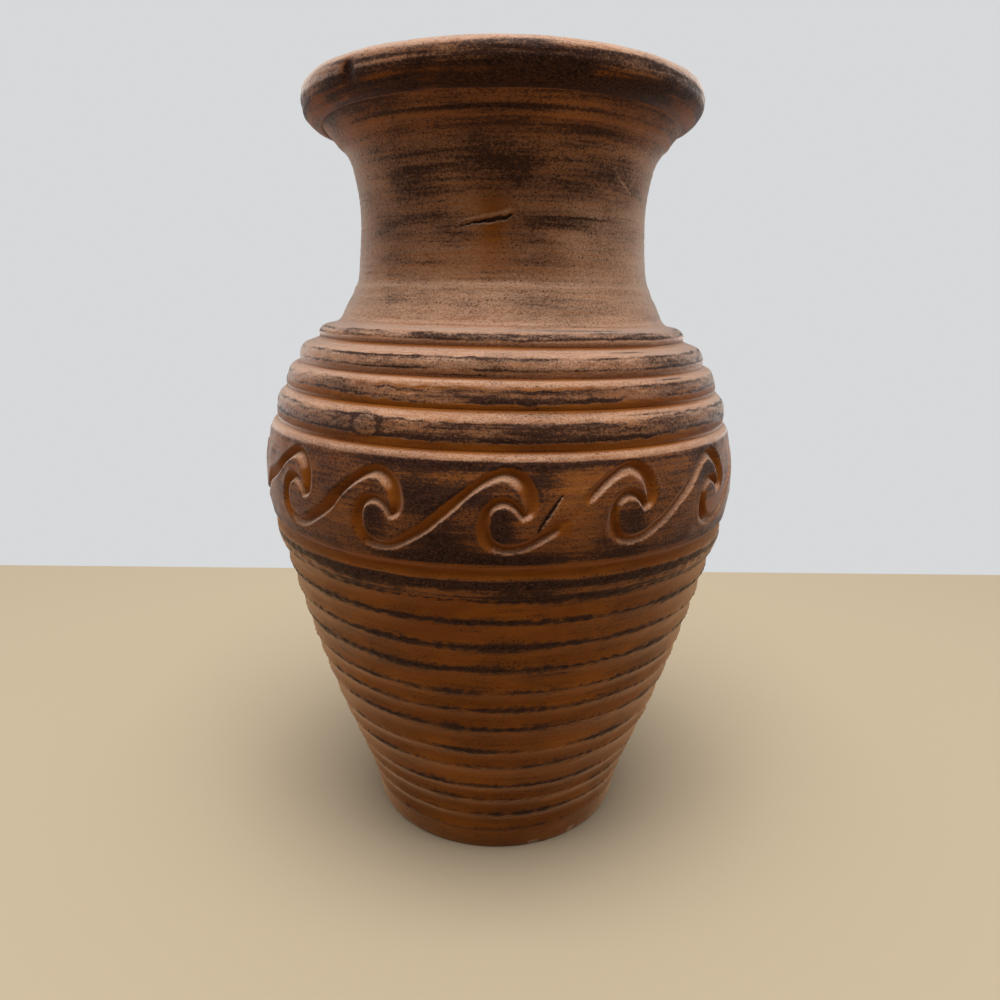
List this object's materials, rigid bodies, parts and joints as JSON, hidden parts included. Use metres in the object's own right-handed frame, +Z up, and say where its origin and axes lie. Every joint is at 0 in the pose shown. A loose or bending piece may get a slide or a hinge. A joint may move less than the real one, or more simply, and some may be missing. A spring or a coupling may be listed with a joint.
{
  "type": "clay vase",
  "caption": "Unglazed clay vase with a ribbed tapering wall, an incised running-wave band, stepped shoulder rings, a waisted neck and a rolled lip.",
  "frame": {"origin": "middle of the underside of the foot", "axes": "+Z up the vase's axis from the foot to the lip, -Y towards the front that the picture shows"},
  "size_m": [0.1818, 0.1818, 0.28],
  "materials": {
    "bare_clay": "matt unglazed orange-brown clay with dark dry-brushed rib crests",
    "washed_clay": "matt unglazed clay under a worn dark brown wash, bare in the grooves"
  },
  "bodies": {
    "root": {"foot_disc": "bare_clay", "lower_wall": "bare_clay", "frieze_band": "washed_clay", "shoulder_ring_1": "washed_clay", "shoulder_ring_2": "washed_clay", "shoulder_ring_3": "washed_clay", "shoulder_ring_4": "washed_clay", "collar": "washed_clay", "neck": "washed_clay", "rim_roll": "washed_clay"}
  },
  "joints": []
}
